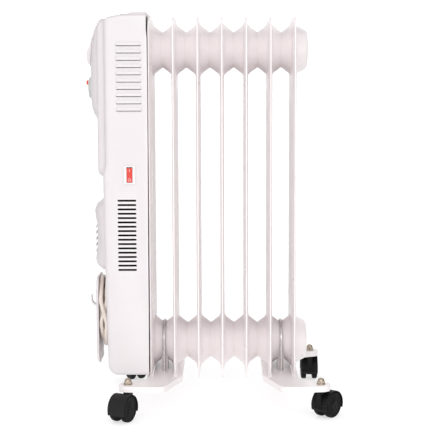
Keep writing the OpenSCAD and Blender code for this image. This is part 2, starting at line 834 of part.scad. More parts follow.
module caster_hood() {
    ring_sector = concat(arc(0, 0, hood_r, -20, 200, 36), arc(0, 0, wheel_r + 0.6, 200, -20, 36));
    neck_top = 47.4;
    difference() {
        union() {
            translate([caster_trail, 0, wheel_r]) across(caster_width) polygon(ring_sector);
            translate([caster_trail, 0, wheel_r]) across(2 * web_half) intersection() {
                circle(wheel_r + 1.2);
                translate([-30, -9]) square([60, 60]);
            }
            block([-6, -web_half, 15], [6, web_half, 42]);
            translate([0, 0, 40.6]) cylinder(h = neck_top - 40.6, r = 6.4);
        }
        translate([0, 0, 19]) cylinder(h = 40, r = stem_r + 0.06);
        translate([caster_trail, 20, wheel_r]) rotate([90, 0, 0]) cylinder(h = 40, r = axle_r);
    }
}

module caster_axle() {
    half = caster_width / 2 - 2.6;
    translate([caster_trail, half, wheel_r]) rotate([90, 0, 0]) cylinder(h = 2 * half, r = axle_r);
}

// A wheel on the left (side = 1) or right (side = -1) of its hood
module caster_wheel(side) {
    thick = caster_width / 2 - web_half - 0.35;
    profile = [[axle_r + 0.06, 0], [14, 0], [wheel_r - 1.4, 0], [wheel_r, 1.6], [wheel_r, thick - 2.2],
               [wheel_r - 1.8, thick - 0.4], [14, thick], [0, thick], [0, thick - 2],
               [axle_r + 0.06, thick - 2]];
    translate([caster_trail, side * (web_half + 0.35), wheel_r]) rotate([-side * 90, 0, 0])
        rotate_extrude() polygon(profile);
}

module caster_hood_front_right() {
    color("black") at_caster(front_stem_x, -1, front_right_turn) caster_hood();
}
module caster_hood_front_left() {
    color("black") at_caster(front_stem_x, 1, front_left_turn) caster_hood();
}
module caster_hood_rear_right() {
    color("black") at_caster(rear_stem_x, -1, rear_right_turn) caster_hood();
}
module caster_hood_rear_left() {
    color("black") at_caster(rear_stem_x, 1, rear_left_turn) caster_hood();
}

module caster_axle_front_right() {
    color("silver") at_caster(front_stem_x, -1, front_right_turn) caster_axle();
}
module caster_axle_front_left() {
    color("silver") at_caster(front_stem_x, 1, front_left_turn) caster_axle();
}
module caster_axle_rear_right() {
    color("silver") at_caster(rear_stem_x, -1, rear_right_turn) caster_axle();
}
module caster_axle_rear_left() {
    color("silver") at_caster(rear_stem_x, 1, rear_left_turn) caster_axle();
}

module wheel_front_right_a() {
    color("black") at_caster(front_stem_x, -1, front_right_turn) caster_wheel(-1);
}
module wheel_front_right_b() {
    color("black") at_caster(front_stem_x, -1, front_right_turn) caster_wheel(1);
}
module wheel_front_left_a() {
    color("black") at_caster(front_stem_x, 1, front_left_turn) caster_wheel(-1);
}
module wheel_front_left_b() {
    color("black") at_caster(front_stem_x, 1, front_left_turn) caster_wheel(1);
}
module wheel_rear_right_a() {
    color("black") at_caster(rear_stem_x, -1, rear_right_turn) caster_wheel(-1);
}
module wheel_rear_right_b() {
    color("black") at_caster(rear_stem_x, -1, rear_right_turn) caster_wheel(1);
}
module wheel_rear_left_a() {
    color("black") at_caster(rear_stem_x, 1, rear_left_turn) caster_wheel(-1);
}
module wheel_rear_left_b() {
    color("black") at_caster(rear_stem_x, 1, rear_left_turn) caster_wheel(1);
}

module caster_stems() {
    color("silver") for (x = [front_stem_x, rear_stem_x], side = [-1, 1])
        translate([x, side * stem_span / 2, 0]) {
            translate([0, 0, 20]) cylinder(h = 38, r = stem_r);
            translate([0, 0, 48]) cylinder(h = bracket_top - bracket_thick - 48, r = 6.4);
        }
}

// Domed cap nuts on top of the brackets
module caster_nuts() {
    color("goldenrod") for (x = [front_stem_x, rear_stem_x], side = [-1, 1])
        translate([x, side * stem_span / 2, bracket_top]) difference() {
            union() {
                cylinder(h = 1.2, r = 7);
                cylinder(h = 5.6, r = 6, $fn = 6);
                translate([0, 0, 5.2]) intersection() {
                    sphere(4.9);
                    cylinder(h = 10, r = 6);
                }
            }
            translate([0, 0, -1]) cylinder(h = 6, r = stem_r);
        }
}

fin_1();
fin_2();
fin_3();
fin_4();
fin_5();
fin_6();
fin_7();
header_necks();
header_caps();
heating_element();
back_plate();
housing_shell();
control_panel();
fan_grille();
cord_plate();
carry_handle();
filter_pads();
thermostat_body();
thermostat_shaft();
thermostat_knob();
selector_body();
selector_shaft();
selector_knob();
rocker_frame();
rocker_paddle();
fan_motor();
fan_impeller();
fan_duct();
fan_heater();
thermal_cutout();
terminal_block();
cord_gland();
cord_hank();
cord_lead_in();
cord_lead_out();
plug_body();
plug_pins();
foot_bracket_front();
foot_bracket_rear();
u_bolts();
wing_nuts();
caster_stems();
caster_nuts();
caster_hood_front_right();
caster_hood_front_left();
caster_hood_rear_right();
caster_hood_rear_left();
caster_axle_front_right();
caster_axle_front_left();
caster_axle_rear_right();
caster_axle_rear_left();
wheel_front_right_a();
wheel_front_right_b();
wheel_front_left_a();
wheel_front_left_b();
wheel_rear_right_a();
wheel_rear_right_b();
wheel_rear_left_a();
wheel_rear_left_b();
housing_screws();
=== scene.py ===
import json
import math

import bmesh
import bpy
from mathutils import Matrix, Vector


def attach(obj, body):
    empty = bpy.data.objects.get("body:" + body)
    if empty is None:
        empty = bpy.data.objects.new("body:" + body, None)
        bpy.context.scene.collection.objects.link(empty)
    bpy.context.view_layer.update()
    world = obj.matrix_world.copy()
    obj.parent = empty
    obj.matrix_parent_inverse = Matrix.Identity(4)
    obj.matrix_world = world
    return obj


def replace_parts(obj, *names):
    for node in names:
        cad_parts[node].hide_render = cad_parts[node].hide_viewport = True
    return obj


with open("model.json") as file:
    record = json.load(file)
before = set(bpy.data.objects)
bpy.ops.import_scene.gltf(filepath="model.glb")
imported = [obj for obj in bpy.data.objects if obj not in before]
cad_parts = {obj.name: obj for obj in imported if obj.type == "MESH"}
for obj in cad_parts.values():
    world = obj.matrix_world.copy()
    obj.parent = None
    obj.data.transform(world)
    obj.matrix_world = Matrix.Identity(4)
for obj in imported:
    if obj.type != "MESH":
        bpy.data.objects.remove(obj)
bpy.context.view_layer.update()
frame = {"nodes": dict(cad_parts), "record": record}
NODES = frame["nodes"]
MM = 0.001
STACK_X = 14.65           # the middle fin stands this far from the origin, in millimetres
PITCH = 37.0
BOX_BACK = STACK_X - 3 * PITCH - 3
BOX_FRONT = BOX_BACK - 64
PANEL_FRONT = BOX_FRONT - 12
POD_FRONT = PANEL_FRONT - 12
THERMOSTAT_Z, SELECTOR_Z = 555.5, 499.0


# ---- camera, light and floor ----

def add_camera():
    """A long lens a little above the middle of the heater, looking at its right side and slightly down."""
    yaw, pitch, roll = 0.0067, 0.1036, -0.0035
    forward = Vector((-math.sin(yaw) * math.cos(pitch), math.cos(yaw) * math.cos(pitch), -math.sin(pitch)))
    level = Vector((math.cos(yaw), math.sin(yaw), 0.0))
    upright = level.cross(forward)
    right = math.cos(roll) * level + math.sin(roll) * upright
    up = math.cos(roll) * upright - math.sin(roll) * level
    data = bpy.data.cameras.new("camera")
    data.sensor_width = 36.0
    data.lens = 100.2
    data.clip_start = 0.05
    data.clip_end = 60.0
    camera = bpy.data.objects.new("camera", data)
    turn = Matrix((right, up, -forward)).transposed()
    camera.matrix_world = Matrix.Translation(Vector((STACK_X + 1.06, -1890.0, 493.8)) * MM) @ turn.to_4x4()
    bpy.context.collection.objects.link(camera)
    bpy.context.scene.camera = camera


def add_sun(name, toward, strength, softness):
    data = bpy.data.lights.new(name, "SUN")
    data.energy = strength
    data.angle = math.radians(softness)
    light = bpy.data.objects.new(name, data)
    light.rotation_euler = Vector(toward).to_track_quat("-Z", "Y").to_euler()
    bpy.context.collection.objects.link(light)


def add_studio():
    """White surroundings, a broad soft light from the front and a floor that glows like a light table."""
    world = bpy.data.worlds.new("studio")
    bpy.context.scene.world = world
    world.use_nodes = True
    nodes, link = world.node_tree.nodes, world.node_tree.links.new
    around = nodes["Background"]
    around.inputs["Color"].default_value = (1.0, 1.0, 1.0, 1.0)
    around.inputs["Strength"].default_value = 1.3
    beyond = nodes.new("ShaderNodeBackground")
    beyond.inputs["Color"].default_value = (1.0, 1.0, 1.0, 1.0)
    beyond.inputs["Strength"].default_value = 1.0
    ray = nodes.new("ShaderNodeLightPath")
    either = nodes.new("ShaderNodeMixShader")
    link(ray.outputs["Is Camera Ray"], either.inputs["Fac"])
    link(around.outputs["Background"], either.inputs[1])
    link(beyond.outputs["Background"], either.inputs[2])
    link(either.outputs["Shader"], nodes["World Output"].inputs["Surface"])
    add_sun("front_light", (0.1, 1.0, -0.42), 0.38, 26.0)
    bpy.context.scene.view_settings.view_transform = "Standard"

    # a sheet of pale paper that lies on the ground and rises in a wide curve far behind the heater
    half, near, far, rise = 9.0, -6.0, 4.0, 6.0
    lie = [(near, 0.0),
           (far, 0.0)] + [(far + rise * math.sin(math.radians(a)), rise * (1 - math.cos(math.radians(a))))
                                       for a in range(5, 91, 5)] + [(far + rise, 12.0)]
    mesh = bpy.data.meshes.new("floor")
    mesh.from_pydata([(x, y, z) for y, z in lie for x in (-half, half)], [],
                     [(2 * k, 2 * k + 1, 2 * k + 3, 2 * k + 2) for k in range(len(lie) - 1)])
    mesh.polygons.foreach_set("use_smooth", [True] * len(mesh.polygons))
    floor = bpy.data.objects.new("floor", mesh)
    bpy.context.collection.objects.link(floor)
    paint = bpy.data.materials.new("floor_paper")
    paint.use_nodes = True
    shader = paint.node_tree.nodes["Principled BSDF"]
    shader.inputs["Base Color"].default_value = (0.5, 0.5, 0.5, 1.0)
    shader.inputs["Emission Color"].default_value = (1.0, 1.0, 1.0, 1.0)
    shader.inputs["Emission Strength"].default_value = 0.6
    shader.inputs["Roughness"].default_value = 0.9
    shader.inputs["Specular IOR Level"].default_value = 0.2
    mesh.materials.append(paint)

    # grey cards beside and above the heater, which the camera doesn't see, give its ends and tops an edge
    grey = bpy.data.materials.new("card_grey")
    grey.use_nodes = True
    grey.node_tree.nodes["Principled BSDF"].inputs["Base Color"].default_value = (0.2, 0.19, 0.2, 1.0)
    grey.node_tree.nodes["Principled BSDF"].inputs["Roughness"].default_value = 0.9
    cards = {"right_card": [(0.8, -0.4, 0.0), (0.8, 0.5, 0.0), (0.8, 0.5, 1.1), (0.8, -0.4, 1.1)],
             "left_card": [(-0.9, -0.35, 0.0), (-0.9, 0.5, 0.0), (-0.9, 0.5, 1.1), (-0.9, -0.35, 1.1)],
             "top_card": [(-0.6, -0.2, 1.15), (0.6, -0.2, 1.15), (0.6, 0.6, 1.15), (-0.6, 0.6, 1.15)]}
    for name, corners in cards.items():
        card = bpy.data.meshes.new(name)
        card.from_pydata(corners, [], [(0, 1, 2, 3)])
        card.materials.append(grey)
        stand = bpy.data.objects.new(name, card)
        bpy.context.collection.objects.link(stand)
        stand.visible_camera = False


# ---- finishes ----

def finish(name, colour, roughness, grain, depth, tone=0.03, gloss=0.08, edge_highlight_and_wear=None, edge_highlight_and_wear_amount=0.3,
           metallic=0.0, coat=0.0, stretch=(1.0, 1.0, 1.0), specular=0.5, through=0.0):
    """A material whose colour, gloss and surface vary at the scale that the real finish shows.

    grain is the size of its surface texture and depth its height, both in millimetres.
    edge_highlight_and_wear is the colour blended onto convex edges: where it is lighter than colour it is a
    painted highlight mixed with edge wear.
    """
    look = bpy.data.materials.new(name)
    look.use_nodes = True
    nodes = look.node_tree.nodes
    link = look.node_tree.links.new
    shader = nodes["Principled BSDF"]
    shader.inputs["Metallic"].default_value = metallic
    shader.inputs["Coat Weight"].default_value = coat
    shader.inputs["Coat Roughness"].default_value = 0.1
    shader.inputs["Specular IOR Level"].default_value = specular
    shader.inputs["Transmission Weight"].default_value = through

    place = nodes.new("ShaderNodeTexCoord")
    spread = nodes.new("ShaderNodeMapping")
    spread.inputs["Scale"].default_value = stretch
    link(place.outputs["Object"], spread.inputs["Vector"])

    def noise(size_mm, detail):
        tex = nodes.new("ShaderNodeTexNoise")
        tex.inputs["Scale"].default_value = 1000.0 / size_mm
        tex.inputs["Detail"].default_value = detail
        link(spread.outputs["Vector"], tex.inputs["Vector"])
        return tex.outputs["Fac"]

    def ranged(value, low, high, start=0.3, end=0.7):
        step = nodes.new("ShaderNodeMapRange")
        step.inputs["From Min"].default_value = start
        step.inputs["From Max"].default_value = end
        step.inputs["To Min"].default_value = low
        step.inputs["To Max"].default_value = high
        link(value, step.inputs["Value"])
        return step.outputs["Result"]

    def blend(factor, first, second):
        mix = nodes.new("ShaderNodeMix")
        mix.data_type = "RGBA"
        link(factor, mix.inputs["Factor"])
        for socket, value in ((mix.inputs["A"], first), (mix.inputs["B"], second)):
            if isinstance(value, tuple):
                socket.default_value = value + (1.0,)
            else:
                link(value, socket)
        return mix.outputs["Result"]

    dark = tuple(c * (1.0 - tone) for c in colour)
    light = tuple(min(1.0, c * (1.0 + tone)) for c in colour)
    clouds = ranged(noise(60.0, 4.0), 0.0, 1.0)
    shade = blend(clouds, dark, light)
    # convex edges (high pointiness) blend towards a second colour: on most finishes it is lighter, a painted
    # highlight along the edges mixed with edge wear; on the lead and plug it is darker
    if edge_highlight_and_wear:
        shape = nodes.new("ShaderNodeNewGeometry")
        rim = ranged(shape.outputs["Pointiness"], 0.0, edge_highlight_and_wear_amount, 0.53, 0.62)
        shade = blend(rim, shade, edge_highlight_and_wear)
    link(shade, shader.inputs["Base Color"])
    link(ranged(noise(14.0, 5.0), roughness - gloss, roughness + gloss), shader.inputs["Roughness"])
    bump = nodes.new("ShaderNodeBump")
    bump.inputs["Strength"].default_value = 0.6
    bump.inputs["Distance"].default_value = depth * MM
    link(noise(grain, 3.0), bump.inputs["Height"])
    link(bump.outputs["Normal"], shader.inputs["Normal"])
    return look


ENAMEL = (0.90, 0.84, 0.845)
# each finish's eighth argument is its edge colour: where it is lighter than the base it is a painted
# highlight along convex edges mixed with wear; on the lead and plug it is darker
LOOKS = {
    "fin_enamel": finish("fin_enamel", ENAMEL, 0.34, 5.0, 0.10, 0.015, 0.07, (0.93, 0.88, 0.88), 0.4,
                         coat=0.2),
    "bracket_enamel": finish("bracket_enamel", (0.85, 0.80, 0.805), 0.36, 4.0, 0.10, 0.02, 0.07,
                             (0.86, 0.81, 0.81), 0.4, coat=0.2),
    "white_plastic": finish("white_plastic", (0.70, 0.66, 0.672), 0.42, 0.9, 0.05, 0.012, 0.06,
                            (0.87, 0.84, 0.85), 0.4),
    "knob_plastic": finish("knob_plastic", (0.80, 0.75, 0.76), 0.3, 1.2, 0.02, 0.015, 0.05,
                           (0.87, 0.84, 0.85), 0.4),
    "grey_knob_plastic": finish("grey_knob_plastic", (0.56, 0.59, 0.585), 0.32, 1.2, 0.02, 0.03, 0.06,
                                (0.62, 0.67, 0.66), 0.4),
    "red_switch": finish("red_switch", (0.72, 0.035, 0.02), 0.16, 2.0, 0.03, 0.06, 0.05, (0.9, 0.16, 0.1),
                         0.4,
                         coat=0.6),
    "wheel_black": finish("wheel_black", (0.006, 0.0056, 0.0056), 0.6, 1.0, 0.12, 0.25, 0.1,
                          (0.03, 0.028, 0.028), 0.5,
                          specular=0.12),
    "hood_black": finish("hood_black", (0.0055, 0.0052, 0.0054), 0.55, 0.8, 0.10, 0.25, 0.1,
                         (0.03, 0.028, 0.028), 0.5,
                         specular=0.12),
    "plated_steel": finish("plated_steel", (0.66, 0.65, 0.64), 0.28, 0.5, 0.03, 0.08, 0.1,
                           (0.85, 0.85, 0.85), 0.5,
                           metallic=1.0),
    "nut_brass": finish("nut_brass", (0.44, 0.37, 0.30), 0.2, 0.6, 0.03, 0.1, 0.08, (0.84, 0.76, 0.64), 0.5,
                        metallic=1.0),
    "bare_steel": finish("bare_steel", (0.50, 0.50, 0.50), 0.42, 0.4, 0.04, 0.1, 0.12, (0.7, 0.7, 0.7), 0.4,
                         metallic=1.0, stretch=(1.0, 1.0, 12.0)),
    "shaft_brass": finish("shaft_brass", (0.74, 0.56, 0.27), 0.25, 0.4, 0.02, 0.08, 0.08, (0.9, 0.78, 0.5),
                          0.4,
                          metallic=1.0, stretch=(12.0, 1.0, 1.0)),
    "dark_plastic": finish("dark_plastic", (0.03, 0.03, 0.032), 0.5, 0.8, 0.06, 0.2, 0.1,
                           (0.09, 0.09, 0.09), 0.4),
    "black_foam": finish("black_foam", (0.008, 0.008, 0.008), 0.93, 1.4, 0.9, 0.4, 0.05, specular=0.2),
    "heater_aluminium": finish("heater_aluminium", (0.6, 0.6, 0.61), 0.38, 0.5, 0.04, 0.1, 0.1,
                               (0.8, 0.8, 0.8), 0.4,
                               metallic=1.0),
    "cord_beige": finish("cord_beige", (0.80, 0.715, 0.65), 0.5, 1.6, 0.05, 0.05, 0.08, (0.68, 0.58, 0.52),
                         0.3),
    "plug_beige": finish("plug_beige", (0.80, 0.73, 0.67), 0.42, 1.0, 0.05, 0.04, 0.08, (0.74, 0.66, 0.6),
                         0.4),
}


# ---- mesh helpers, all in millimetres ----

def piece(name, shape, slot, body="radiator", flat_angle=None):
    """Makes an object of a (points, faces) shape with a record finish, riding on a CAD body."""
    points, faces = shape
    mesh = bpy.data.meshes.new(name)
    mesh.from_pydata([Vector(p) * MM for p in points], [], faces)
    mesh.validate()
    mesh.polygons.foreach_set("use_smooth", [True] * len(mesh.polygons))
    if flat_angle is not None:
        mesh.set_sharp_from_angle(angle=math.radians(flat_angle))
    made = bpy.data.objects.new(name, mesh)
    bpy.context.collection.objects.link(made)
    mesh.materials.append(LOOKS[slot])
    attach(made, body)
    return made


def solid(name, shape):
    """A closed mesh object whose faces all point outwards."""
    points, faces = shape
    mesh = bpy.data.meshes.new(name)
    mesh.from_pydata([Vector(p) * MM for p in points], [], faces)
    skin = bmesh.new()
    skin.from_mesh(mesh)
    bmesh.ops.recalc_face_normals(skin, faces=skin.faces)
    skin.to_mesh(mesh)
    skin.free()
    made = bpy.data.objects.new(name, mesh)
    bpy.context.collection.objects.link(made)
    return made


def carve(shape, *cuts):
    """Cuts each closed shape of cuts out of a closed shape, and gives back the mesh."""
    body = solid("carved", shape)
    tools = []
    for cut in cuts:
        tool = solid("cutter", cut)
        knife = body.modifiers.new("cut", "BOOLEAN")
        knife.operation = "DIFFERENCE"
        knife.solver = "EXACT"
        knife.object = tool
        tools.append(tool)
    seen = body.evaluated_get(bpy.context.evaluated_depsgraph_get())
    mesh = seen.to_mesh()
    points = [tuple(v.co / MM) for v in mesh.vertices]
    faces = [tuple(f.vertices) for f in mesh.polygons]
    seen.to_mesh_clear()
    for used in [body] + tools:
        bpy.data.objects.remove(used)
    return points, faces


def even(obj):
    """Large flat faces keep their shading flat beside their rounded edges."""
    weighted = obj.modifiers.new("even_shading", "WEIGHTED_NORMAL")
    weighted.keep_sharp = True
    return obj


def prism(outline, axis, low, high):
    """Extrudes an outline along an axis: x takes (y, z) points, y takes (x, z) and z takes (x, y)."""
    at = {"x": lambda p, h: (h, p[0], p[1]), "y": lambda p, h: (p[0], h, p[1]), "z": lambda p,
          h: (p[0], p[1], h)}
    return loft([[at[axis](p, h) for p in outline] for h in (low, high)])


def box(low, high):
    return prism([(low[0], low[1]), (high[0], low[1]), (high[0], high[1]), (low[0], high[1])], "z", low[2],
                 high[2])


def rounded_loop(low_y, high_y, low_z, high_z, r, n=6):
    """A rectangle with rounded corners, as a loop of points."""
    loop = []
    for cy, cz, start in ((high_y - r, high_z - r, 0), (low_y + r, high_z - r, 90),
                          (low_y + r, low_z + r, 180),
                          (high_y - r, low_z + r, 270)):
        loop += arc(cy, cz, r, start, start + 90, n)
    return loop


def between(table, value):
    """Straight line interpolation in a table of (value, result) pairs in rising order."""
    for (a, fa), (b, fb) in zip(table, table[1:]):
        if value <= b:
            return fa + (fb - fa) * max(0.0, (value - a) / (b - a))
    return table[-1][1]


def soften(obj, width, segments=3, angle=35.0):
    """Rounds an object's edges by width millimetres."""
    bevel = obj.modifiers.new("edge_rounding", "BEVEL")
    bevel.width = width * MM
    bevel.segments = segments
    bevel.limit_method = "ANGLE"
    bevel.angle_limit = math.radians(angle)
    bevel.harden_normals = True
    return obj


def join(*shapes):
    points, faces = [], []
    for more_points, more_faces in shapes:
        start = len(points)
        points += more_points
        faces += [tuple(start + i for i in f) for f in more_faces]
    return points, faces


def placed(shape, matrix):
    return [tuple(matrix @ Vector(p)) for p in shape[0]], shape[1]


def loft(rings, closed=True, caps=(True, True)):
    """Skins rings of equal length. closed joins each ring's end to its start."""
    count = len(rings[0])
    points = [p for ring in rings for p in ring]
    span = count if closed else count - 1
    faces = []
    for k in range(len(rings) - 1):
        for i in range(span):
            j = (i + 1) % count
            a = k * count
            faces.append((a + i, a + j, a + count + j, a + count + i))
    if caps[0]:
        faces.append(tuple(reversed(range(count))))
    if caps[1]:
        faces.append(tuple(len(points) - count + i for i in range(count)))
    return points, faces


def turned(profile, steps=48):
    """Turns a list of (radius, height) about Z. A radius of 0 at either end closes the shape."""
    rings = []
    for r, h in profile:
        rings.append([(max(r, 0.01) * math.cos(2 * math.pi * i / steps),
                       max(r, 0.01) * math.sin(2 * math.pi * i / steps), h) for i in range(steps)])
    return loft(rings)


def arc(cx, cy, r, start, end, n):
    return [(cx + r * math.cos(math.radians(start + (end - start) * k / n)),
             cy + r * math.sin(math.radians(start + (end - start) * k / n))) for k in range(n + 1)]


def smoothstep(value, low, high):
    t = min(1.0, max(0.0, (value - low) / (high - low)))
    return t * t * (3 - 2 * t)


def smooth_max(a, b, k):
    h = max(k - abs(a - b), 0.0) / k
    return max(a, b) + h * h * k * 0.25


# ---- mains lead ----

CORD_D = 0.0068
BACK_LAYER = (BOX_FRONT - 3.7) * MM
FRONT_LAYER = (BOX_FRONT - 12.7) * MM
PLUG_X = (BOX_FRONT + 6) * MM
HANK_Z = 0.1485
HANK_HALF = 0.018
LEAD_IN = [(BACK_LAYER, 0.035, 0.104), (BACK_LAYER, 0.035, 0.110), (BACK_LAYER, 0.035, 0.117),
           (BACK_LAYER, 0.035, 0.124)]
LEAD_OUT = [
    (FRONT_LAYER, 0.036, 0.160), (FRONT_LAYER, 0.041, 0.172), (FRONT_LAYER + 0.001, 0.051, 0.181),
    (FRONT_LAYER + 0.004, 0.065, 0.185), (FRONT_LAYER + 0.008, 0.079, 0.183),
    (FRONT_LAYER + 0.013, 0.091, 0.176), (FRONT_LAYER + 0.016, 0.099, 0.164), (PLUG_X, 0.103, 0.150),
    (PLUG_X, 0.103, 0.139), (PLUG_X, 0.103, 0.128),
]


def hank_route():
    """Winds the lead round the core: three turns in on the back layer, then out on the front one."""
    low, high = HANK_Z - HANK_HALF, HANK_Z + HANK_HALF
    step = 0.007
    arc_steps = 10
    route = []

    def rise(r, x):
        route.extend((x, r, low + (high - low) * t) for t in (0.0, 0.5, 1.0))

    def fall(r, x0, x1, r1=None):
        r1 = r if r1 is None else r1
        for t in (0.0, 0.5, 1.0):
            ease = smoothstep(t, 0.0, 1.0)
            route.append((x0 + (x1 - x0) * ease, -(r + (r1 - r) * ease), high + (low - high) * t))

    def over(r0, r1, x):
        for k in range(1, arc_steps):
            t = k / arc_steps
            r = r0 + (r1 - r0) * t
            route.append((x, r * math.cos(math.pi * t), high + r * math.sin(math.pi * t)))

    def under(r0, r1, x0, x1, bend=None):
        for k in range(1, arc_steps):
            t = k / arc_steps
            r = r0 + (r1 - r0) * (bend[0](t) if bend else t)
            x = x0 + (x1 - x0) * (bend[1](t) if bend else t)
            route.append((x, -r * math.cos(math.pi * t), low - r * math.sin(math.pi * t)))

    inner = 0.021
    outer = inner + 2 * step
    # the outermost strand changes layer on its way down, and comes back under the core
    rise(outer, BACK_LAYER)
    over(outer, outer, BACK_LAYER)
    fall(outer, BACK_LAYER, FRONT_LAYER)
    under(outer, outer - step, FRONT_LAYER, BACK_LAYER)
    rise(outer - step, BACK_LAYER)
    over(outer - step, outer - step, BACK_LAYER)
    fall(outer - step, BACK_LAYER, BACK_LAYER)
    under(outer - step, inner, BACK_LAYER, BACK_LAYER,
          (lambda t: 1 - math.cos(math.pi * t / 2), lambda t: 0.0))
    rise(inner, BACK_LAYER)
    over(inner, inner, BACK_LAYER)
    fall(inner, BACK_LAYER, BACK_LAYER)
    under(inner, inner, BACK_LAYER, FRONT_LAYER, (lambda t: 0.0, lambda t: math.sin(math.pi * t / 2)))
    rise(inner, FRONT_LAYER)
    over(inner, inner + step, FRONT_LAYER)
    fall(inner + step, FRONT_LAYER, FRONT_LAYER)
    under(inner + step, inner + step, FRONT_LAYER, FRONT_LAYER)
    rise(inner + step, FRONT_LAYER)
    over(inner + step, outer + 0.003, FRONT_LAYER)
    fall(outer + 0.003, FRONT_LAYER, BACK_LAYER, outer + step)
    under(outer + step, outer, BACK_LAYER, FRONT_LAYER)
    route.append((FRONT_LAYER, outer, low))
    route.append((FRONT_LAYER, outer, HANK_Z - 0.009))
    return route


def add_cord():
    route = LEAD_IN + hank_route() + [(FRONT_LAYER, 0.035, 0.148)] + LEAD_OUT
    data = bpy.data.curves.new("mains_lead", "CURVE")
    data.dimensions = "3D"
    data.bevel_depth = CORD_D / 2
    data.bevel_resolution = 5
    data.resolution_u = 6
    line = data.splines.new("BEZIER")
    line.bezier_points.add(len(route) - 1)
    for point, place in zip(line.bezier_points, route):
        point.co = place
        point.handle_left_type = "AUTO"
        point.handle_right_type = "AUTO"
    lead = bpy.data.objects.new("mains_lead", data)
    bpy.context.collection.objects.link(lead)
    data.materials.append(LOOKS["cord_beige"])
    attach(lead, "radiator")
    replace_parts(lead, "cord_lead_in", "cord_hank", "cord_lead_out")
    return lead


add_camera()
add_studio()
lead = add_cord()


# ---- radiator fins ----

FIN_HALF = 75.0
FIN_LOW, FIN_HIGH = 47.0, 606.0
HEADERS = (97.5, 557.0)
NECK_R = 27.4
COLLAR_R = 39.2
HALF_PITCH = PITCH / 2


RIM = 1.1                 # the rounded rim takes this much of the seam
CORNER = 25.0
MID_Z = (FIN_LOW + FIN_HIGH) / 2
BLOCK = 62.0              # each header sits in a block that ends this far from it
ACROSS = [-FIN_HALF + RIM, -71.5, -68.0, -65.0, -62.5, -60.0, -57.5, -54.0, -48.0, -41.0, -34.0, -28.0, -25.0,
          -22.5, -19.5, -16.5, -14.0, -11.0, -6.0]
ACROSS += [0.0] + [-y for y in reversed(ACROSS)]


def outside_corner(y, z):
    """The part of (y, z) past the straight stretches of a fin's rim, towards the nearest corner."""
    return (math.copysign(max(abs(y) - (FIN_HALF - CORNER), 0.0), y),
            math.copysign(max(abs(z - MID_Z) - (FIN_HIGH - FIN_LOW) / 2 + CORNER, 0.0), z - MID_Z))


def plate_depth(y, z):
    """How far (y, z) lies inside the rounded outline of a fin."""
    over_y, over_z = outside_corner(y, z)
    return CORNER - math.hypot(over_y, over_z)


def fin_swell(y, z, collar):
    """Distance from a fin's middle plane to its pressed face: seam, oil channels, then the bellows collar."""
    seam, channel = 1.15, 3.2
    inside = min(plate_depth(y, z), FIN_HALF - abs(y))
    face = seam + (channel - seam) * smoothstep(inside, 12.0, 19.5)
    along = smoothstep(z, 158.0, 182.0) * (1 - smoothstep(z, 473.0, 497.0))
    face -= 1.7 * along * (1 - smoothstep(abs(abs(y) - 19.5), 1.5, 7.5))
    rho = min(math.hypot(y, z - header) for header in HEADERS)
    face = max(face, seam + (channel - seam) * (1 - smoothstep(rho, 39.5, 44.5)))
    if collar:
        slope = (HALF_PITCH - channel) / (COLLAR_R - NECK_R)
        face = min(smooth_max(face, HALF_PITCH - slope * (rho - NECK_R), 5.0), HALF_PITCH)
    return face


def block_rim(header, side):
    """Points up one side of a fin's end, over it and down the other, from split line to split line."""
    split, end = header - side * BLOCK, FIN_HIGH if side > 0 else FIN_LOW
    wide, turn, walls, bends, tops = FIN_HALF - RIM, CORNER - RIM, 7, 8, 16
    top = end - side * RIM
    wall = [split + (top - side * turn - split) * k / walls for k in range(1, walls)]
    bend = arc(0, 0, turn, 0, 90, bends)
    right = [(wide, z) for z in wall] + [(wide - turn + u, top - side * (turn - v)) for u, v in bend]
    over = [((wide - turn) * (1 - 2 * k / tops), top) for k in range(1, tops)]
    return right + over + [(-y, z) for y, z in reversed(right)]


